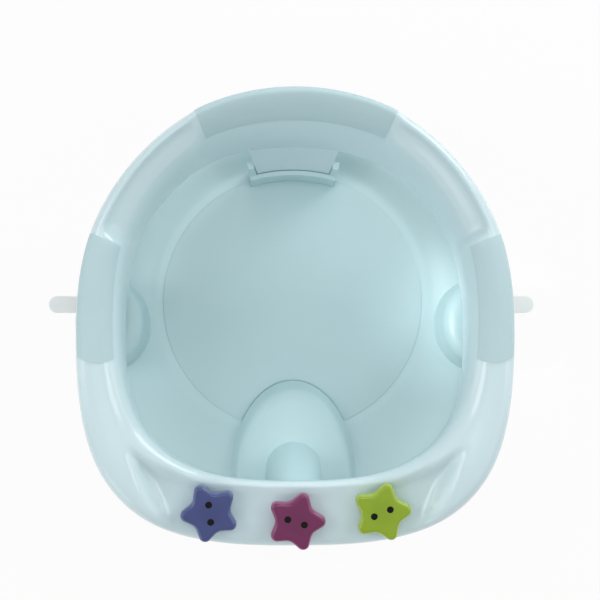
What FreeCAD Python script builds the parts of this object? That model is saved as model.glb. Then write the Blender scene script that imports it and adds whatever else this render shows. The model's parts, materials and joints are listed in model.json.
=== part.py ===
import FreeCAD, Part
import math
import os

from FreeCAD import Vector

# Baby bath seat, millimetres. +X is the sitter's left-right line, the sitter faces -Y, +Z is up.
# The origin is the middle of the footprint, on the surface that the suction cups stand on.

# Plan of the ring, measured from its own centre
ring_centre_y = 1.5
outer_half_width = 176.0
outer_rear_reach = 182.5
outer_front_reach = 182.0
outer_rear_squareness = 2.04
outer_front_squareness = 3.05
inner_half_width = 139.8
inner_rear_reach = 150.0
inner_front_reach = 129.5
inner_rear_squareness = 2.28
inner_front_squareness = 2.8
ring_wall = 3.0

# Heights of the ring
crown_rear_z = 205.0
crown_side_z = 178.0
crown_front_z = 166.0
outer_skirt_rear_z = 108.0
outer_skirt_side_z = 128.0
outer_skirt_front_z = 118.0
inner_skirt_rear_z = 105.0
inner_skirt_side_z = 116.0
inner_skirt_front_z = 142.0

# Toy tray at the front of the ring
tray_slope = math.radians(8.0)
tray_inner_reach = 138.0
tray_inner_z = 150.0
tray_lip_width = 8.5
tray_lip_height = 4.5
lip_apex_width = 17.0
lip_wide_to = 162.0
lip_widening = 32.0
lip_ease = 4.5
crown_drop_from = 128.0
crown_drop_over = 30.0
ridge_apex_x = 129.0
ridge_apex_y = -103.0
ridge_foot_x = 104.0
ridge_foot_y = -166.0
ridge_apex_ease = 8.0
ridge_foot_ease = 22.0

# Side legs of the ring, which stand in the towers of the base
leg_x = 157.0
leg_y = 5.5
leg_half_x = 13.0
leg_half_y = 20.0
leg_wall = 2.6
leg_foot_z = 62.0
leg_clearance = 0.4

# Base moulding
base_centre_y = 27.0
base_half_width = 156.0
base_rear_reach = 150.0
base_front_reach = 172.0
base_front_squareness = 2.9
base_wall = 3.0
floor_z = 32.0
rim_z = 40.0
skirt_foot_z = 14.0
tower_half_x = 30.5
tower_half_y = 38.0
tower_flare = 2.5
tower_top_z = 82.0
tower_shoulder = 11.0
mound_y = -127.0
mound_half_width = 55.0
mound_rear_reach = 85.0
mound_front_reach = 44.0
mound_top_z = 60.0
post_radius = 23.4
post_foot_y = -118.0
post_foot_z = 55.0
post_top_y = -150.0
post_top_z = 132.0
post_drop = 13.0
plug_clearance = 0.4
plug_foot_z = 108.0
rib_thickness = 2.4
rib_foot_z = 18.0
rib_count = 8

# Rear socket of the base and the tongue of the ring in it
tongue_thickness = 3.5
tongue_reach_lip = 137.3
tongue_foot_z = 48.0
tongue_half_top = 38.5
tongue_half_lip = 31.0
tongue_half_foot = 27.5
tongue_root = 6.0
tongue_root_width = 1.4
tongue_clearance = 0.5
socket_lip_z = 64.0
socket_wall = 3.9
socket_half = 37.5
cheek_top_z = 78.0

# Seat mat
mat_radius = 113.9
mat_thickness = 1.8
mat_proud = 0.4
mat_edge_round = 0.4
mat_clearance = 0.08

# Soft grips on the ring: the angles run from the rear, in degrees
grip_thickness = 1.0
grip_seat = 0.05
grip_edge = 0.35
grip_outer_row = 3.4
grip_inner_row = 11.2
side_grip_rear = 68.0
side_grip_front = 106.0
back_grip_half = 26.5
grip_nose_radius = 26.5
grip_nose_x = 157.5
grip_nose_y = -8.5

# Suction cups
cup_radius = 34.0
cup_stem_radius = 6.0
cup_stem_top_z = 27.0
cup_boss_radius = 9.4
cup_bore_play = 0.05
cup_roof = 3.0
cup_tab_reach = 65.5
cup_tab_width = 14.7
cup_tab_foot = 0.6
cup_tab_thickness = 3.0
cup_side_x = 152.0
cup_side_y = 27.0
cup_front_y = -121.0
cup_rear_y = 121.0

# Toy stars: where they sit on the tray, and which way the head of each one points
star_tip_corner = 28.0
star_notch_corner = 15.9
star_tip_rounding = 5.0
star_notch_rounding = 9.0
star_thickness = 10.0
star_top_round = 3.2
star_foot_round = 1.2
star_side_x = 68.3
star_side_from_edge = 29.1
star_middle_from_edge = 22.1
star_lift = 5.0
star_play = 0.1
star_heads = {"blue": 186.5, "pink": 72.0, "green": -66.5}
eye_radius = 2.75
eye_spacing = 13.8
eye_hole_depth = 4.0
eye_sunk = 0.5
axle_radius = 3.0
axle_play = 0.08
axle_head_radius = 6.0
axle_head_height = 2.0
axle_grip_depth = 6.0
boss_radius = 7.5
boss_drop = 5.0

UP = Vector(0, 0, 1)
FAR = 600.0


def smooth(value):
    """Ease from 0 to 1."""
    value = min(1.0, max(0.0, value))
    return value * value * (3 - 2 * value)


def mix(low, high, share):
    return low + (high - low) * share


def around(angle, rear, side, front):
    """A height that is rear, side and front at 0, 90 and 180 degrees round the ring, and even between them."""
    swing = (rear - front) / 2
    twist = ((rear + front) / 2 - side) / 2
    return side + twist + swing * math.cos(angle) + twist * math.cos(2 * angle)


def reach(angle, half_width, rear, front):
    """Distance to an outline of two superellipse halves, each a pair of its reach and its squareness."""
    side, along = abs(math.sin(angle)), math.cos(angle)
    length, power = rear if along >= 0 else front
    return ((side / half_width) ** power + (abs(along) / length) ** power) ** (-1 / power)


def outer_reach(angle):
    return reach(angle, outer_half_width, (outer_rear_reach, outer_rear_squareness),
                 (outer_front_reach, outer_front_squareness))


def inner_reach(angle):
    return reach(angle, inner_half_width, (inner_rear_reach, inner_rear_squareness),
                 (inner_front_reach, inner_front_squareness))


def tray_z(y):
    """Height of the tray's plane."""
    return tray_inner_z + (y - (ring_centre_y - tray_inner_reach)) * math.tan(tray_slope)


# Angles round the ring, in degrees from the rear: closer together at the hand hollows and where the tray begins
half_angles = [0.0, 10.0, 19.0, 24.5, 27.3, 29.7, 32.5, 38.0, 46.0, 54.0, 60.0, 63.0, 65.0, 67.0, 69.0, 72.0, 78.0]
half_angles += [87.0, 97.0, 106.0]
half_angles += [114.0, 120.0, 124.0, 126.8, 129.3, 131.8, 134.3, 137.0, 139.8, 142.6, 145.5, 148.5, 152.0, 157.0]
half_angles += [164.0, 172.0]
ring_angles = [math.radians(a) for a in half_angles + [180.0] + [360.0 - b for b in reversed(half_angles[1:])]]

# Share of the ring's width, and of its depth below the crown, for each row from outer foot to inner foot
side_rows = (
    (0.02, 1.00), (0.00, 0.72), (0.00, 0.38), (0.03, 0.12), (0.12, 0.02), (0.22, 0.00), (0.32, -0.01), (0.42, -0.01),
    (0.52, 0.00), (0.62, 0.01), (0.72, 0.04), (0.82, 0.09), (0.91, 0.17), (0.99, 0.34), (1.00, 0.62), (1.00, 1.00),
)
# The same behind, where the inner side slopes as a backrest, and at the two hollows for the hands
back_rows = side_rows[:4] + (
    (0.08, 0.02), (0.16, -0.01), (0.24, 0.00), (0.33, 0.03),
    (0.42, 0.07), (0.51, 0.13), (0.60, 0.20), (0.69, 0.30), (0.78, 0.42), (0.88, 0.60), (0.96, 0.80), (1.00, 1.00),
)
hollow_rows = side_rows[:7] + (
    (0.36, 0.07), (0.44, 0.12), (0.54, 0.15), (0.66, 0.19), (0.78, 0.25), (0.89, 0.36), (0.97, 0.52), (1.00, 0.76),
    (1.00, 1.00),
)
crown_row = 6
back_ends, back_ease = 68.0, 46.0
hollow_start, hollow_end, hollow_ease = 28.5, 66.0, 3.4
dish_angles = [math.radians(7.5 * step) for step in range(48)]


def turn_of(angle):
    """Degrees from the rear, the same on both sides."""
    return math.degrees(math.pi - abs(angle - math.pi))


def sunk(angle, distance):
    """How far a point of the ring's top has gone down from the crown to the tray, 0 to 1."""
    turn = turn_of(angle)
    x, y = abs(distance * math.sin(angle)), ring_centre_y + distance * math.cos(angle)
    along_x, along_y = ridge_foot_x - ridge_apex_x, ridge_foot_y - ridge_apex_y
    length = math.hypot(along_x, along_y)
    aside = ((x - ridge_apex_x) * along_y - (y - ridge_apex_y) * along_x) / length
    along = ((x - ridge_apex_x) * along_x + (y - ridge_apex_y) * along_y) / length ** 2
    ridge_ease = mix(ridge_apex_ease, ridge_foot_ease, smooth(along))
    lip = mix(tray_lip_width, lip_apex_width, smooth((lip_wide_to - turn) / lip_widening))
    past_lip = distance - inner_reach(angle) - lip
    ahead = smooth((ridge_apex_y - y) / ridge_apex_ease + 0.5)
    return ahead * smooth(aside / ridge_ease + 0.5) * smooth(past_lip / lip_ease + 0.5)


def ring_point(angle, row):
    """Reach and height of one row of the ring's skin."""
    turn = turn_of(angle)
    behind = smooth((back_ends - turn) / back_ease)
    across, down = (mix(s, b, behind) for s, b in zip(side_rows[row], back_rows[row]))
    hollow = smooth((turn - hollow_start) / hollow_ease + 0.5) * smooth((hollow_end - turn) / hollow_ease + 0.5)
    across, down = mix(across, hollow_rows[row][0], hollow), mix(down, hollow_rows[row][1], hollow)
    outer, inner = outer_reach(angle), inner_reach(angle)
    distance = outer - (outer - inner) * across
    lip_z = tray_z(ring_centre_y + inner * math.cos(angle)) + tray_lip_height
    crown = mix(around(angle, crown_rear_z, crown_side_z, crown_front_z), lip_z,
                smooth((turn - crown_drop_from) / crown_drop_over))
    plane = tray_z(ring_centre_y + distance * math.cos(angle))
    top = mix(crown, plane, sunk(angle, distance))
    foot = around(angle, outer_skirt_rear_z, outer_skirt_side_z, outer_skirt_front_z)
    if row > crown_row:
        foot = around(angle, inner_skirt_rear_z, inner_skirt_side_z, inner_skirt_front_z)
        down *= 1 - sunk(angle, distance)
    return distance, top - (top - foot) * down


def ring_grid(inset):
    """Control points of the ring's skin, set in by some depth, as rows round the ring."""
    rows = [[ring_point(angle, row) for angle in ring_angles] for row in range(len(side_rows))]
    if inset:
        rows = set_in(rows, inset)
    return [
        [Vector(r * math.sin(a), ring_centre_y + r * math.cos(a), z) for (r, z), a in zip(line, ring_angles)]
        for line in rows
    ]


def set_in(rows, inset):
    """The same rows moved to the inside of the section by the wall's thickness."""
    moved = [list(line) for line in rows]
    last = len(rows) - 1
    for column in range(len(rows[0])):
        for row in range(last + 1):
            before, after = rows[max(row - 1, 0)][column], rows[min(row + 1, last)][column]
            outward, upward = after[0] - before[0], after[1] - before[1]
            length = math.hypot(outward, upward)
            r, z = rows[row][column]
            level = 0.0 if row in (0, last) else inset * outward / length
            moved[row][column] = (r - inset * upward / length, z + level)
    return moved


def skin(grid):
    """Smooth surface over a grid of control points: closed round the ring, ending at its first and last rows."""
    first = [(a * 2 + b) / 3 for a, b in zip(grid[0], grid[1])]
    final = [(a * 2 + b) / 3 for a, b in zip(grid[-1], grid[-2])]
    rows = [grid[0], first] + grid[1:-1] + [final, grid[-1]]
    columns, spans = len(grid[0]), len(grid)
    surface = Part.BSplineSurface()
    surface.buildFromPolesMultsKnots(
        [[line[i] for line in rows] for i in range(columns)],
        [1] * (columns + 1), [4] + [1] * (spans - 2) + [4],
        [float(k) for k in range(columns + 1)], [float(k) for k in range(spans)],
        True, False, 3, 3,
    )
    return surface


def band(first, second):
    """Straight strip between the end rows of two skins."""
    columns = len(first)
    surface = Part.BSplineSurface()
    surface.buildFromPolesMultsKnots(
        [[first[i], second[i]] for i in range(columns)],
        [1] * (columns + 1), [2, 2], [float(k) for k in range(columns + 1)], [0.0, 1.0],
        True, False, 3, 1,
    )
    return surface


def solid_of(faces):
    """Sew faces into one solid, turned right side out."""
    sewn = Part.makeCompound(faces)
    sewn.sewShape(1e-3)
    solid = Part.Solid(sewn.Shells[0])
    if solid.Volume < 0:
        solid.reverse()
    return solid


def ring_shell():
    """The inverted-U skin of the ring as one closed wall."""
    outside, inside = ring_grid(0), ring_grid(ring_wall)
    surfaces = (skin(outside), skin(inside), band(outside[0], inside[0]), band(outside[-1], inside[-1]))
    return solid_of([surface.toShape() for surface in surfaces])


def ring_core(depth):
    """All the space under the ring's skin, from a given depth inside it down to its feet."""
    grid = ring_grid(depth)
    return solid_of([skin(grid).toShape(), band(grid[0], grid[-1]).toShape()])


def outline(corners):
    """Closed wire in the XZ plane through corners (x, z, rounding)."""
    points = [Vector(x, 0, z) for x, z, _ in corners]
    edges, starts, ends = [], [], []
    for i, (_, _, rounding) in enumerate(corners):
        here, before, after = points[i], points[i - 1], points[(i + 1) % len(points)]
        if rounding == 0:
            starts.append(here)
            ends.append(here)
            continue
        back, on = (before - here).normalize(), (after - here).normalize()
        half = back.getAngle(on) / 2
        cut = rounding / math.tan(half)
        inward = Vector(back + on).normalize()
        starts.append(here + back * cut)
        ends.append(here + on * cut)
        edges.append(Part.Arc(starts[i], here + inward * (rounding / math.sin(half) - rounding), ends[i]).toShape())
    for i in range(len(points)):
        if ends[i - 1].distanceToPoint(starts[i]) > 1e-6:
            edges.append(Part.LineSegment(ends[i - 1], starts[i]).toShape())
    return Part.Wire(Part.__sortEdges__(edges))


def turned(corners, angle=360.0):
    """Solid turned about the Z axis from a half section."""
    return Part.Face(outline(corners)).revolve(Vector(), UP, angle)


def slab(corners, low, high):
    """Level plate from an outline whose second coordinate is y."""
    face = Part.Face(outline(corners))
    face.rotate(Vector(), Vector(1, 0, 0), -90)
    return placed(face.extrude(Vector(0, 0, high - low)), 0, 0, low)


def stretched(shape, x_scale, y_scale):
    matrix = FreeCAD.Matrix()
    matrix.scale(x_scale, y_scale, 1.0)
    return shape.transformGeometry(matrix)


def placed(shape, x, y, z=0.0):
    shape = shape.copy()
    shape.translate(Vector(x, y, z))
    return shape


def spun(shape, degrees):
    shape = shape.copy()
    shape.rotate(Vector(), UP, degrees)
    return shape


def oval(half_x, half_y, low, high, x, y):
    """Upright column with an elliptical section."""
    rod = Part.makeCylinder(1.0, high - low, Vector(0, 0, low))
    return placed(stretched(rod, half_x, half_y), x, y)


def block(low, high):
    """Box between two corners."""
    size = [b - a for a, b in zip(low, high)]
    return Part.makeBox(size[0], size[1], size[2], Vector(*low))


def below(height):
    return block((-FAR, -FAR, -FAR), (FAR, FAR, height))


def below_tray(drop):
    """All the space under a plane that is parallel to the tray and lower by drop."""
    space = below(0.0)
    space.rotate(Vector(), Vector(1, 0, 0), math.degrees(tray_slope))
    return placed(space, 0, ring_centre_y - tray_inner_reach, tray_inner_z - drop)


def up_into(column, core, level):
    """A column that ends inside the ring's roof: all of it below a level, and above that what is in the core."""
    return column.common(core).fuse(column.common(below(level)))


def post_y(z):
    """The front post's centre line leans towards the tray."""
    return mix(post_foot_y, post_top_y, (z - post_foot_z) / (post_top_z - post_foot_z))


def post_column(radius, low, high):
    rings = [Part.Wire(Part.makeCircle(radius, Vector(0, post_y(z), z), UP)) for z in (low, high)]
    return Part.makeLoft(rings, True, True)


def tongue_sides(spare):
    """Block whose slanting sides bound the rear tongue."""
    top = inner_skirt_rear_z + tongue_root
    corners = [
        (-tongue_half_top - spare, top), (-tongue_half_lip - spare, socket_lip_z),
        (-tongue_half_foot - spare, tongue_foot_z - spare), (tongue_half_foot + spare, tongue_foot_z - spare),
        (tongue_half_lip + spare, socket_lip_z), (tongue_half_top + spare, top),
    ]
    wire = Part.makePolygon([Vector(x, ring_centre_y, z) for x, z in corners + corners[:1]])
    return Part.Face(wire).extrude(Vector(0, outer_rear_reach, 0))


def rear_sector(corners, half_angle):
    """Section turned about the ring's axis, over a sector at the rear."""
    face = Part.Face(Part.makePolygon([Vector(0, r, z) for r, z in corners + corners[:1]]))
    face.rotate(Vector(), UP, -half_angle)
    return placed(face.revolve(Vector(), UP, 2 * half_angle), 0, ring_centre_y)


def tongue(spare):
    """The ring's tail that drops into the rear socket, or with some spare the slot for it."""
    skirt = inner_rear_reach + ring_wall / 2
    half_root = tongue_root_width / 2 + spare
    root_z = inner_skirt_rear_z
    front, lip = inner_rear_reach + 0.2 - spare, tongue_reach_lip - spare
    thick = tongue_thickness + 2 * spare
    corners = [
        (skirt - half_root, root_z + tongue_root), (skirt - half_root, root_z + 1), (front, root_z - 1),
        (lip, socket_lip_z), (lip, tongue_foot_z - spare), (lip + thick, tongue_foot_z - spare),
        (lip + thick, socket_lip_z), (front + thick - 1, root_z - 1), (skirt + half_root, root_z + 1),
        (skirt + half_root, root_z + tongue_root),
    ]
    return rear_sector(corners, 25.0).common(tongue_sides(spare))


def star_seats():
    """The middle of each star on the tray's plane, and the turn of its head."""
    edge = ring_centre_y - outer_front_reach
    side, middle = edge + star_side_from_edge, edge + star_middle_from_edge
    places = {"blue": (-star_side_x, side), "pink": (0.0, middle), "green": (star_side_x, side)}
    return {name: (Vector(x, y, tray_z(y)), star_heads[name]) for name, (x, y) in places.items()}


def onto_tray(shape, seat):
    """Tilt a level shape to the tray's slope and put it on a seat."""
    shape = shape.copy()
    shape.rotate(Vector(), Vector(1, 0, 0), math.degrees(tray_slope))
    shape.translate(seat)
    return shape


def rod(radius, low, high, x=0.0, y=0.0):
    return Part.makeCylinder(radius, high - low, Vector(x, y, low))


def ring():
    """The upper moulding: skin, side legs, front plug, rear tongue and star bosses."""
    roof, ceiling = ring_core(ring_wall / 2), ring_core(ring_wall + leg_wall)
    high = crown_rear_z + 20
    stands, bores = [tongue(0)], []
    for x in (-leg_x, leg_x):
        leg = oval(leg_half_x, leg_half_y, leg_foot_z, high, x, leg_y)
        bore = oval(leg_half_x - leg_wall, leg_half_y - leg_wall, leg_foot_z - 1, high, x, leg_y)
        stands.append(up_into(leg, roof, outer_skirt_side_z + 2))
        bores.append(up_into(bore, ceiling, outer_skirt_side_z + 2))
    plug_radius = post_radius - base_wall - plug_clearance
    plug_level = inner_skirt_front_z - 2
    stands.append(up_into(post_column(plug_radius, plug_foot_z, high), roof, plug_level))
    bores.append(up_into(post_column(plug_radius - leg_wall, plug_foot_z - 1, high), ceiling, plug_level))
    bosses, axles = [], []
    under_boss = -ring_wall - boss_drop
    for seat, _ in star_seats().values():
        bosses.append(onto_tray(rod(boss_radius, under_boss, star_lift - star_play), seat))
        axles.append(onto_tray(rod(axle_radius + axle_play, under_boss - 1, star_lift + 1), seat))
    return ring_shell().fuse(stands).cut(bores).fuse(bosses).cut(axles)


def net(poles, knots, counts, degrees):
    """Surface through a net of poles that is closed in neither direction."""
    surface = Part.BSplineSurface()
    surface.buildFromPolesMultsKnots(
        poles, counts[0], counts[1], knots[0], knots[1], False, False, degrees[0], degrees[1])
    return surface


def grip(start, end):
    """A soft cushion that lies on the ring's skin between two angles, thinner at its edges."""
    half = len(ring_angles) // 2
    surface = skin([line[half:] + line[:half] for line in ring_grid(0)])
    turns = [math.degrees(a) for a in ring_angles]
    turns = [a - 360.0 for a in turns[half:]] + turns[:half]

    def place(turn):
        """Place of an angle along the surface, whose seam is at the front."""
        left = max(i for i, a in enumerate(turns) if a <= turn)
        return left + (turn - turns[left]) / (turns[left + 1] - turns[left]) - 1

    surface.segment(place(start), place(end), grip_outer_row, grip_inner_row)
    first, last, outer, inner = surface.bounds()
    poles = surface.getPoles()
    rows, columns = len(poles) - 1, len(poles[0]) - 1
    upright = 1 if surface.normal((first + last) / 2, crown_row).z > 0 else -1
    foot, top = [], []
    for i, line in enumerate(poles):
        seated, lifted = [], []
        for j, pole in enumerate(line):
            edge = min(i, rows - i, j, columns - j)
            thick = mix(grip_edge, grip_thickness, min(1.0, edge / 2))
            normal = surface.normal(mix(first, last, i / rows), mix(outer, inner, j / columns)) * upright
            seated.append(pole + normal * grip_seat)
            lifted.append(pole + normal * (grip_seat + thick))
        foot.append(seated)
        top.append(lifted)
    knots = (surface.getUKnots(), surface.getVKnots())
    counts = (surface.getUMultiplicities(), surface.getVMultiplicities())
    ends, two = [2, 2], [0.0, 1.0]
    faces = [net(foot, knots, counts, (3, 3)), net(top, knots, counts, (3, 3))]
    for i in (0, rows):
        faces.append(net([foot[i], top[i]], (two, knots[1]), (ends, counts[1]), (1, 3)))
    for j in (0, columns):
        edges = [[foot[i][j], top[i][j]] for i in range(rows + 1)]
        faces.append(net(edges, (knots[0], two), (counts[0], ends), (3, 1)))
    return solid_of([face.toShape() for face in faces])


def side_grips():
    """The two side cushions, with their front ends rounded in plan."""
    low, high = inner_skirt_side_z, crown_rear_z
    shapes = []
    for side, start, end in ((-1, -side_grip_front, -side_grip_rear), (1, side_grip_rear, side_grip_front)):
        nose = rod(grip_nose_radius, low, high, side * grip_nose_x, grip_nose_y)
        ahead = block((-FAR, -FAR, low), (FAR, grip_nose_y, high)).cut(nose)
        shapes.append(grip(start, end).cut(ahead))
    return shapes


def base_reach(angle):
    return reach(angle, base_half_width, (base_rear_reach, 2.0), (base_front_reach, base_front_squareness))


def dish(wall):
    """The tray of the base, rounder behind than in front: its outer form, or with a wall the space under it."""
    foot = skirt_foot_z - (1 if wall else 0)
    top, level = rim_z - wall, floor_z - wall
    rows = []
    for drop, z in ((1.5, foot), (1.2, mix(foot, top, 0.4)), (0.6, mix(foot, top, 0.75)), (0.3, top - 1.5),
                    (3.0, top), (7.0, top), (14.0, top - 0.6)):
        rows.append([(base_reach(a) - wall - drop, z) for a in dish_angles])
    for out, rise in ((12.0, 1.2), (7.0, 0.2), (4.0, 0.0), (2.0, 0.0)):
        rows.append([(mat_radius + out, level + rise) for _ in dish_angles])
    grid = [[Vector(r * math.sin(a), base_centre_y + r * math.cos(a), z) for (r, z), a in zip(line, dish_angles)]
            for line in rows]
    surface = skin(grid)
    _, _, low, high = surface.bounds()
    caps = [Part.Face(Part.Wire(surface.vIso(v).toShape())) for v in (low, high)]
    return solid_of([surface.toShape()] + caps)


def tower(side, wall):
    """A bell-shaped tower over a side cup: its outer form, or with a wall the space in it."""
    foot = skirt_foot_z - (1 if wall else 0)
    wide = tower_half_x - wall
    corners = [
        (0, foot, 0), (wide + tower_flare, foot, 0), (wide + tower_flare - 0.5, floor_z + 3, 6),
        (wide, floor_z + 16, 14), (wide - 2, tower_top_z - wall, tower_shoulder - wall), (0, tower_top_z - wall, 0),
    ]
    bell = stretched(turned(corners), 1, (tower_half_y - wall) / wide)
    return placed(bell, side * leg_x, leg_y)


def mound(wall):
    """The rise between the legs: its outer form, or with a wall the space in it."""
    foot = skirt_foot_z - (1 if wall else 0)
    wide = mound_half_width - wall
    corners = [
        (0, foot, 0), (wide, foot, 0), (wide - 0.5, floor_z + 6, 3), (wide - 7, mound_top_z - 5 - wall, 9),
        (12, mound_top_z - wall, 40), (0, mound_top_z - wall, 0),
    ]
    half = turned(corners, 180)
    rear = stretched(half, 1, (mound_rear_reach - wall) / wide)
    front = stretched(spun(half, 180), 1, (mound_front_reach - wall) / wide)
    return placed(rear.fuse(front), 0, mound_y)


def upright():
    """The rear socket: a block on the floor with a slot from above, and two cheeks beside the tongue."""
    front = tongue_reach_lip - tongue_clearance - socket_wall
    back = tongue_reach_lip + tongue_thickness + tongue_clearance + base_wall
    half_angle = math.degrees(math.asin(socket_half / tongue_reach_lip))
    low = floor_z - base_wall / 2
    body = rear_sector(
        [(front, low), (front, socket_lip_z), (back, socket_lip_z), (back, low)], half_angle)
    lean = (inner_rear_reach - tongue_reach_lip) / (inner_skirt_rear_z - socket_lip_z)
    shift = lean * (cheek_top_z - socket_lip_z)
    cheeks = rear_sector([
        (tongue_reach_lip - 1.5, socket_lip_z - 1), (tongue_reach_lip - 1.5 + shift, cheek_top_z),
        (back + shift - 2, cheek_top_z), (back, socket_lip_z - 1),
    ], half_angle).cut(tongue_sides(tongue_clearance))
    below_slot = rear_sector([
        (front + base_wall, low - 1), (front + base_wall, tongue_foot_z - 5),
        (back - base_wall, tongue_foot_z - 5), (back - base_wall, low - 1),
    ], half_angle - 1.5)
    return body.fuse(cheeks).cut(tongue(tongue_clearance)), below_slot


cup_places = {
    "left": (-cup_side_x, cup_side_y, 180.0), "right": (cup_side_x, cup_side_y, 0.0),
    "front": (0.0, cup_front_y, -90.0), "rear": (0.0, cup_rear_y, 90.0),
}


def seat_base():
    """The lower moulding."""
    high = post_top_z + 40
    recess_z = floor_z + mat_proud - mat_thickness
    recess = rod(mat_radius + mat_clearance, recess_z, floor_z + 1, 0, base_centre_y)
    post_low = mound_top_z - 15
    post = post_column(post_radius, post_low, high).common(below_tray(post_drop))
    forms = [tower(-1, 0), tower(1, 0), mound(0)]
    shell = dish(0).cut(recess).fuse(forms + [post])
    bore = post_column(post_radius - base_wall, post_low - 1, high)
    shell = shell.cut([dish(base_wall), tower(-1, base_wall), tower(1, base_wall), mound(base_wall), bore])

    added, hollows = [], []
    for x in (-leg_x, leg_x):
        wide, deep = leg_half_x + leg_clearance, leg_half_y + leg_clearance
        added.append(oval(wide + leg_wall, deep + leg_wall, leg_foot_z - leg_wall, tower_top_z - 1, x, leg_y))
        hollows.append(oval(wide, deep, leg_foot_z, tower_top_z + 1, x, leg_y))
    under = dish(0).fuse(forms)
    ribs = []
    for step in range(rib_count):
        plate = block((0, -rib_thickness / 2, rib_foot_z), (base_front_reach, rib_thickness / 2, floor_z - base_wall / 2))
        ribs.append(placed(spun(plate, 360.0 * (step + 0.5) / rib_count), 0, base_centre_y))
    boss_top = cup_stem_top_z + cup_roof
    for x, y, _ in cup_places.values():
        added.append(rod(cup_boss_radius, skirt_foot_z, boss_top, x, y))
        hollows.append(rod(cup_stem_radius + cup_bore_play, skirt_foot_z - 1, cup_stem_top_z, x, y))
        half, length = rib_thickness / 2, tower_half_y + tower_flare + 20
        ribs.append(block((x - length, y - half, rib_foot_z), (x + length, y + half, boss_top - 1)))
        ribs.append(block((x - half, y - length, rib_foot_z), (x + half, y + length, boss_top - 1)))
    ribs = Part.makeCompound([rib.common(under) for rib in ribs])
    socket, below_slot = upright()
    shell = shell.fuse(added + [socket] + ribs.Solids)
    return shell.cut(hollows + [below_slot])


def seat_mat():
    """The round non-slip mat, cut out round the mound and the rear socket."""
    foot = floor_z + mat_proud - mat_thickness
    top = foot + mat_thickness
    corners = [(0, foot, 0), (mat_radius, foot, 0), (mat_radius, top, mat_edge_round), (0, top, 0)]
    disc = placed(turned(corners), 0, base_centre_y)
    bite = oval(mound_half_width + mat_clearance, mound_rear_reach + mat_clearance, foot - 1, top + 1, 0, mound_y)
    front = tongue_reach_lip - tongue_clearance - socket_wall - mat_clearance
    half_angle = math.degrees(math.asin((socket_half + 2 * mat_clearance) / tongue_reach_lip))
    behind = mat_radius + base_centre_y
    notch = rear_sector([(front, foot - 1), (front, top + 1), (behind, top + 1), (behind, foot - 1)], half_angle)
    return disc.cut([bite, notch])


def suction_cup(x, y, turn):
    """Soft cup with a flat rim to stand on, a stem for the boss above it and a pull tab."""
    inner_rim = cup_radius - 2.5
    corners = [
        (0, cup_stem_top_z, 0), (cup_stem_radius, cup_stem_top_z, 1.2), (cup_stem_radius, skirt_foot_z, 0),
        (cup_boss_radius, skirt_foot_z, 0), (cup_boss_radius, 12, 0.5), (15, 11, 5), (29, 3.4, 10),
        (cup_radius, 1.4, 0), (cup_radius, 0, 0), (inner_rim, 0, 0), (27, 1.2, 8), (13.5, 8.4, 6), (0, 9, 0),
    ]
    half = cup_tab_width / 2
    tab = slab(
        [(inner_rim - 1, -half, 0), (cup_tab_reach, -half, half - 0.4), (cup_tab_reach, half, half - 0.4),
         (inner_rim - 1, half, 0)],
        cup_tab_foot, cup_tab_foot + cup_tab_thickness)
    return placed(spun(turned(corners).fuse(tab), turn), x, y)


def star_plate():
    """Plump five-pointed plate, head along +X, with its underside on the XY plane."""
    corners = []
    for step in range(10):
        angle = math.radians(36.0 * step)
        out, rounding = (star_tip_corner, star_tip_rounding) if step % 2 == 0 else (star_notch_corner, star_notch_rounding)
        corners.append((out * math.cos(angle), out * math.sin(angle), rounding))
    plate = slab(corners, 0, star_thickness)
    plate = plate.makeFillet(star_top_round, [e for e in plate.Edges if e.BoundBox.ZMin > star_thickness - 0.01])
    return plate.makeFillet(star_foot_round, [e for e in plate.Edges if e.BoundBox.ZMax < 0.01])


def eye_spots():
    """The two eyes of a star, beside each other below its head."""
    return (0.0, eye_spacing / 2), (0.0, -eye_spacing / 2)


def toys():
    """Each star with its axle hole and eye holes, its axle pin and its two eyes, on the tray."""
    pieces = {}
    for name, (seat, head) in star_seats().items():
        foot = star_lift
        top = foot + star_thickness
        star = placed(star_plate(), 0, 0, foot).cut(rod(axle_radius, foot - 1, foot + axle_grip_depth))
        star = star.cut([rod(eye_radius, top - eye_hole_depth, top + 1, x, y) for x, y in eye_spots()])
        under_boss = -ring_wall - boss_drop - star_play
        pin = rod(axle_radius, under_boss - 1, foot + axle_grip_depth)
        pin = pin.fuse(rod(axle_head_radius, under_boss - axle_head_height, under_boss))
        pieces["star_" + name] = onto_tray(spun(star, head), seat)
        pieces["pin_" + name] = onto_tray(pin, seat)
        for side, (x, y) in zip(("left", "right"), eye_spots()):
            plug = rod(eye_radius, top - eye_hole_depth, top - eye_sunk, x, y)
            pieces["eye_" + name + "_" + side] = onto_tray(spun(plug, head), seat)
    return pieces


def save(shape, name):
    shape.exportStep("parts/" + name + ".step")
    box = shape.BoundBox
    print(name, shape.isValid(), len(shape.Solids), round(shape.Volume / 1000, 1), "cm3",
          [round(v, 1) for v in (box.XMin, box.XMax, box.YMin, box.YMax, box.ZMin, box.ZMax)])


os.makedirs("parts", exist_ok=True)
save(ring(), "ring")
save(seat_base(), "seat_base")
save(seat_mat(), "seat_mat")
for side, cushion in zip(("left", "right"), side_grips()):
    save(cushion, "grip_" + side)
save(grip(-back_grip_half, back_grip_half), "grip_back")
for cup_name, cup_place in cup_places.items():
    save(suction_cup(*cup_place), "cup_" + cup_name)
for toy_name, toy in toys().items():
    save(toy, toy_name)
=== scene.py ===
import json
import math

import bpy
from mathutils import Matrix, Vector

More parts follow.
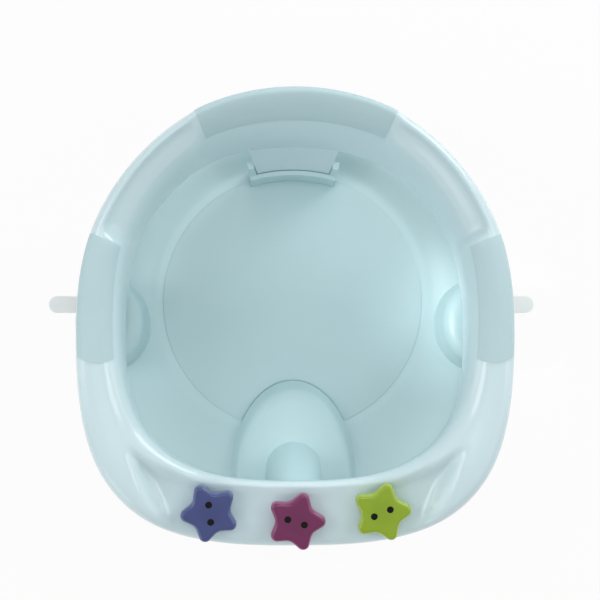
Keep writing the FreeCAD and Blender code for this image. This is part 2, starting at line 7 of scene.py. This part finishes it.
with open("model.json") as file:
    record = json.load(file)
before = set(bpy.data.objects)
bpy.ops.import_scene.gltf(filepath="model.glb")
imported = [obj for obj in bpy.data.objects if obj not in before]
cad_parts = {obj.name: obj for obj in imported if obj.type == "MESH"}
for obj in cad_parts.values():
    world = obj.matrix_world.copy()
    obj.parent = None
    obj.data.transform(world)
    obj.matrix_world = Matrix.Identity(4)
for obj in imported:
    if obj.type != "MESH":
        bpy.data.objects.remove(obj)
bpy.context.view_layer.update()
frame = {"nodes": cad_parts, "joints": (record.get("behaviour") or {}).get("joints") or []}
nodes = frame["nodes"]

# The base: one injection moulding in pale aqua polypropylene, with the dished floor, the side towers,
# the mound with its post and the rear socket. It comes satin from the tool, because it is the wet part
# that the child sits in: a fine spark texture breaks up its shine, and the pigment is a little cloudy.


class Signal:
    """One output in a node tree: an expression on it adds the Math nodes that work it out."""

    def __init__(self, wiring, socket):
        self.wiring, self.socket = wiring, socket

    def math(self, operation, *values):
        return self.wiring.node("ShaderNodeMath", "Value", {"operation": operation}, dict(enumerate(values)))

    def __add__(self, other):
        return self.math("ADD", self, other)

    def __radd__(self, other):
        return self.math("ADD", other, self)

    def __sub__(self, other):
        return self.math("SUBTRACT", self, other)

    def __rsub__(self, other):
        return self.math("SUBTRACT", other, self)

    def __mul__(self, other):
        return self.math("MULTIPLY", self, other)

    def __rmul__(self, other):
        return self.math("MULTIPLY", other, self)

    def sine(self):
        return self.math("SINE", self)

    def between(self, low, high):
        """0 below low, 1 above high and an even rise between them."""
        return self.wiring.node("ShaderNodeMapRange", "Result", {"interpolation_type": "SMOOTHSTEP"},
                                {"Value": self, "From Min": low, "From Max": high})


class Wiring:
    """A node tree that starts with its output node alone."""

    def __init__(self, owner, output):
        owner.use_nodes = True
        self.tree = owner.node_tree
        self.tree.nodes.clear()
        self.out = self.tree.nodes.new(output)

    def plug(self, socket, value):
        if isinstance(value, Signal):
            self.tree.links.new(value.socket, socket)
        else:
            socket.default_value = value

    def node(self, kind, out, settings=None, sockets=None):
        """A node of any kind: its settings first, then the values or links of its sockets."""
        new = self.tree.nodes.new(kind)
        for key, value in (settings or {}).items():
            setattr(new, key, value)
        for key, value in (sockets or {}).items():
            self.plug(new.inputs[key], value)
        return Signal(self, new.outputs[out])

    def show(self, surface):
        self.plug(self.out.inputs["Surface"], surface)


class Finish(Wiring):
    """A material made of nodes, put on a piece."""

    def __init__(self, name, **numbers):
        self.material = bpy.data.materials.new(name)
        super().__init__(self.material, "ShaderNodeOutputMaterial")
        self.body = self.node("ShaderNodeBsdfPrincipled", "BSDF")
        self.show(self.body)
        for key, value in numbers.items():
            self.set(key.replace("_", " "), value)

    def set(self, socket, value):
        self.plug(self.body.socket.node.inputs[socket], value)

    def blend(self, factor, low, high):
        """A colour between two colours."""
        return self.node("ShaderNodeMix", 2, {"data_type": "RGBA"}, {0: factor, 6: low, 7: high})

    def place(self):
        """The point's place on the piece, in metres."""
        return self.node("ShaderNodeTexCoord", "Object")

    def noise(self, scale, detail=2.0):
        return self.node("ShaderNodeTexNoise", "Fac", {}, {
            "Vector": self.place(), "Scale": scale, "Detail": detail})

    def bump(self, height, distance, strength):
        self.set("Normal", self.node("ShaderNodeBump", "Normal", {}, {
            "Height": height, "Distance": distance, "Strength": strength}))

    def on(self, *names):
        for name in names:
            for slot in nodes[name].material_slots:
                slot.material = self.material


def tone(red, green, blue):
    """A colour written as it shows on a screen, 0 to 255."""
    def level(value):
        value /= 255
        return value / 12.92 if value <= 0.04045 else ((value + 0.055) / 1.055) ** 2.4
    return (level(red), level(green), level(blue), 1.0)


satin = Finish("aqua_satin", Coat_Weight=0.3, Coat_Roughness=0.28)
satin_cloud = satin.noise(scale=8.0)
spark = satin.noise(scale=500.0)
satin.set("Base Color", satin.blend(satin_cloud, tone(180, 211, 215), tone(190, 220, 224)))
satin.set("Roughness", 0.38 + 0.12 * satin.noise(scale=40.0, detail=3.0))
satin.bump(spark, distance=0.00003, strength=0.5)
satin.on("seat_base")

# The round mat: soft non-slip rubber, laid flush in the floor. Its top is matt, with fine ribs across
# the seat and a grain over them, and it is a shade greyer than the moulding round it.
rib_pitch = 0.0021
rib_share = 0.25
rubber = Finish("mat_rubber")
along_seat = rubber.node("ShaderNodeSeparateXYZ", "Y", {}, {"Vector": rubber.place()})
ribs = (along_seat * (2 * math.pi / rib_pitch)).sine()
rubber_grain = rubber.noise(scale=1600.0)
rubber_cloud = rubber.noise(scale=14.0)
rubber.set("Base Color", rubber.blend(rubber_cloud, tone(182, 211, 215), tone(191, 218, 222)))
rubber.set("Roughness", 0.55 + 0.14 * rubber_grain)
rubber.bump(rubber_grain + rib_share * ribs, distance=0.00006, strength=0.6)
rubber.on("seat_mat")

# The four suction cups: clear soft vinyl, moulded in one with their pull tabs and pushed up into sockets
# under the base. The vinyl is milky, with clouds in it and a slightly greasy shine.
vinyl = Finish("milky_vinyl", Transmission_Weight=0.1, IOR=1.45, Coat_Weight=0.4, Coat_Roughness=0.1)
milk = vinyl.noise(scale=45.0)
vinyl.set("Base Color", vinyl.blend(milk, tone(232, 237, 236), tone(248, 250, 250)))
vinyl.set("Roughness", 0.3 + 0.14 * vinyl.noise(scale=280.0))
vinyl.bump(vinyl.noise(scale=420.0), distance=0.00006, strength=0.5)
vinyl.on("cup_left", "cup_right", "cup_front", "cup_rear")

# The ring: the upper moulding, in a paler aqua than the base and polished, because it is wiped and
# looked at most. The tool's polish leaves a long soft waviness in its shine, and the pigment is cloudy.
gloss = Finish("aqua_gloss", Coat_Weight=0.65, Coat_Roughness=0.06, Coat_IOR=1.5)
gloss_cloud = gloss.noise(scale=6.0)
gloss.set("Base Color", gloss.blend(gloss_cloud, tone(196, 219, 224), tone(203, 225, 230)))
gloss.set("Roughness", 0.29 + 0.06 * gloss.noise(scale=30.0))
gloss.bump(gloss.noise(scale=45.0, detail=1.0), distance=0.00006, strength=0.4)
gloss.on("ring")

# The three grips: thin soft-touch rubber panels laid over the ring where the child holds on and leans
# back. They are matt, with a fine pebbled stipple, and a touch greyer and darker than the ring.
soft_touch = Finish("soft_touch", Sheen_Weight=0.12, Sheen_Roughness=0.5)
pebbles = soft_touch.node("ShaderNodeTexVoronoi", "Distance", {}, {
    "Vector": soft_touch.place(), "Scale": 900.0})
soft_cloud = soft_touch.noise(scale=12.0)
soft_touch.set("Base Color", soft_touch.blend(soft_cloud, tone(176, 203, 208), tone(184, 210, 215)))
soft_touch.set("Roughness", 0.5 + 0.15 * pebbles)
soft_touch.bump(pebbles, distance=0.00008, strength=0.6)
soft_touch.on("grip_left", "grip_right", "grip_back")

# The axle pins: white nylon, each pushed up through the tray from below into its star. They are
# moulded, slightly waxy, and hidden under the tray.
nylon = Finish("nylon_white", Coat_Weight=0.1, Coat_Roughness=0.3)
wax = nylon.noise(scale=90.0, detail=3.0)
nylon.set("Base Color", nylon.blend(wax, tone(226, 228, 226), tone(236, 238, 236)))
nylon.set("Roughness", 0.4 + 0.1 * nylon.noise(scale=400.0))
nylon.bump(nylon.noise(scale=900.0), distance=0.00003, strength=0.5)
nylon.on("pin_blue", "pin_pink", "pin_green")

# The three toy stars: plump shapes in deep coloured plastic, dyed through, that spin on their pins. Each
# face is coloured deep in the middle and lighter out towards the tips, and the rounded edges carry a painted
# highlight in a pale colour.
star_reach = 0.024
star_middle = 0.2 * star_reach
star_edge_highlight = 0.55
# Each star's colours: the deep middle of the face, the lighter tips, and the pale painted highlight for its
# rounded edges.
star_dyes = {
    "blue": (tone(38, 48, 96), tone(53, 65, 120), tone(98, 113, 160)),
    "pink": (tone(82, 4, 58), tone(104, 16, 76), tone(164, 76, 130)),
    "green": (tone(110, 138, 4), tone(133, 162, 14), tone(178, 202, 66)),
}
for name, (deep, light, edge_highlight) in star_dyes.items():
    spin = next(joint for joint in frame["joints"] if joint["name"] == name + "_star_spin")
    dyed = Finish("star_plastic_" + name, Coat_Weight=0.5, Coat_Roughness=0.12)
    from_middle = dyed.node("ShaderNodeVectorMath", "Value", {"operation": "DISTANCE"},
                            {0: dyed.place(), 1: tuple(spin["pos_m"])})
    cloud = 0.3 * dyed.noise(scale=70.0, detail=3.0)
    face = dyed.blend(from_middle.between(star_middle, star_reach) + cloud, deep, light)
    facing = dyed.node("ShaderNodeVectorMath", "Value", {"operation": "DOT_PRODUCT"},
                       {0: dyed.node("ShaderNodeNewGeometry", "Normal"), 1: tuple(spin["axis"])})
    # Painted highlight: the rounded edges blend towards the pale colour as their normal tilts away from the
    # spin axis.
    edge_highlight_share = (1 - facing).between(0.02, 0.5)
    dyed.set("Base Color", dyed.blend(edge_highlight_share * star_edge_highlight, face, edge_highlight))
    dyed.set("Roughness", 0.32 + 0.1 * dyed.noise(scale=150.0, detail=3.0))
    dyed.bump(dyed.noise(scale=160.0), distance=0.00005, strength=0.4)
    dyed.on("star_" + name)

# The eyes: black plastic plugs pressed into two holes in each star, a little sunk, so they stay dark.
# Their faces are matt, with a fine grain from the tool.
jet = Finish("eye_black", Specular_IOR_Level=0.2)
soot = jet.noise(scale=300.0)
jet.set("Base Color", jet.blend(soot, tone(4, 4, 7), tone(10, 10, 14)))
jet.set("Roughness", 0.45 + 0.15 * jet.noise(scale=600.0))
jet.bump(jet.noise(scale=700.0), distance=0.00003, strength=0.5)
for name in star_dyes:
    jet.on("eye_" + name + "_left", "eye_" + name + "_right")

# The floor of the studio: a broad sheet of white paper that runs out past the view. To the camera, and
# in what shines or lets light through, it glows almost white, so only a faint shadow of the seat shows.
scene = bpy.context.scene
scene.view_settings.view_transform = "Standard"
white = (1.0, 1.0, 1.0, 1.0)
paper_glow = 0.94
half_sheet = 6.0
paper = Finish("floor_paper", Roughness=0.9)
paper.set("Base Color", paper.blend(paper.noise(scale=3.0), tone(208, 208, 208), tone(214, 214, 214)))
seen, mirrored, through = (
    paper.node("ShaderNodeLightPath", "Is " + kind + " Ray") for kind in ("Camera", "Glossy", "Transmission"))
paper.show(paper.node("ShaderNodeMixShader", "Shader", {}, {
    0: paper_glow * (seen + mirrored + through),
    1: paper.body,
    2: paper.node("ShaderNodeEmission", "Emission", {}, {"Color": white, "Strength": 1.0})}))
corners = [(x * half_sheet, y * half_sheet, 0) for x, y in ((-1, -1), (1, -1), (1, 1), (-1, 1))]
sheet = bpy.data.meshes.new("floor")
sheet.from_pydata(corners, [], [(0, 1, 2, 3)])
sheet.materials.append(paper.material)
floor = bpy.data.objects.new("floor", sheet)
scene.collection.objects.link(floor)

# The room round the paper: a soft even light on the seat, and plain white behind it for the camera.
room_light = 0.54
scene.world = bpy.data.worlds.new("surroundings")
room = Wiring(scene.world, "ShaderNodeOutputWorld")
room.show(room.node("ShaderNodeMixShader", "Shader", {}, {
    0: room.node("ShaderNodeLightPath", "Is Camera Ray"),
    1: room.node("ShaderNodeBackground", "Background", {}, {"Color": white, "Strength": room_light}),
    2: room.node("ShaderNodeBackground", "Background", {}, {"Color": white, "Strength": 1.0})}))

# The lamps: one strong low soft box behind on the right, weaker ones round the seat and above it, and two
# narrow spots that pick out the right tower and the post.


def hang(name, kind, place, aim, power, **settings):
    """A lamp at a place, pointed at its aim."""
    lamp = bpy.data.lights.new(name, kind)
    lamp.energy = power
    for key, value in settings.items():
        setattr(lamp, key, value)
    holder = bpy.data.objects.new(name, lamp)
    holder.location = place
    holder.rotation_euler = (place - aim).to_track_quat("Z", "Y").to_euler()
    scene.collection.objects.link(holder)


def soft_box(name, turn, height, away, width, power):
    """A round lamp: turn runs from straight behind the seat towards its right, height is above the level."""
    around, up = math.radians(turn), math.radians(height)
    way = Vector((math.sin(around) * math.cos(up), math.cos(around) * math.cos(up), math.sin(up)))
    middle = Vector((0, 0, 0.1))
    hang(name, "AREA", middle + way * away, middle, power, shape="DISK", size=width)


def snoot(name, place, aim, spread, power):
    """A soft narrow spot of light that picks out one form."""
    hang(name, "SPOT", Vector(place), Vector(aim), power,
         spot_size=math.radians(spread), spot_blend=1.0, shadow_soft_size=0.05)


soft_box("rear_lamp", turn=0, height=22, away=1.5, width=0.8, power=3.2)
soft_box("rear_right_lamp", turn=45, height=24, away=1.5, width=0.8, power=6.4)
soft_box("right_lamp", turn=90, height=22, away=1.5, width=0.8, power=1.8)
soft_box("right_high_lamp", turn=90, height=52, away=1.7, width=0.6, power=2.6)
soft_box("front_left_lamp", turn=225, height=22, away=1.5, width=0.8, power=2.2)
soft_box("left_lamp", turn=270, height=22, away=1.5, width=0.8, power=2.4)
soft_box("left_high_lamp", turn=270, height=52, away=1.7, width=0.6, power=3.4)
soft_box("top_lamp", turn=0, height=84, away=2.0, width=0.6, power=4.0)
snoot("tower_spot", place=(-1.0, 0.0, 1.35), aim=(0.132, 0.01, 0.075), spread=3.6, power=110)
snoot("post_spot", place=(0.1, 1.0, 1.5), aim=(0.0, -0.112, 0.08), spread=3.0, power=60)

# The viewpoint: almost straight above the seat, a little towards its front, with a long lens. The
# picture's sides stay level with the seat's left-right line.
camera_place = Vector((-0.0268, -0.1053, 1.458))
camera_aim = Vector((0.0034, 0.0159, 0.165))
camera_data = bpy.data.cameras.new("camera")
camera_data.lens = 97.53
camera_data.sensor_width = 36.0
camera_data.clip_end = 20.0
camera = bpy.data.objects.new("camera", camera_data)
camera_back = (camera_place - camera_aim).normalized()
camera_right = (Vector((1, 0, 0)) - camera_back * camera_back.x).normalized()
camera_up = camera_back.cross(camera_right)
camera.matrix_world = Matrix((camera_right, camera_up, camera_back)).transposed().to_4x4()
camera.location = camera_place
scene.collection.objects.link(camera)
scene.camera = camera
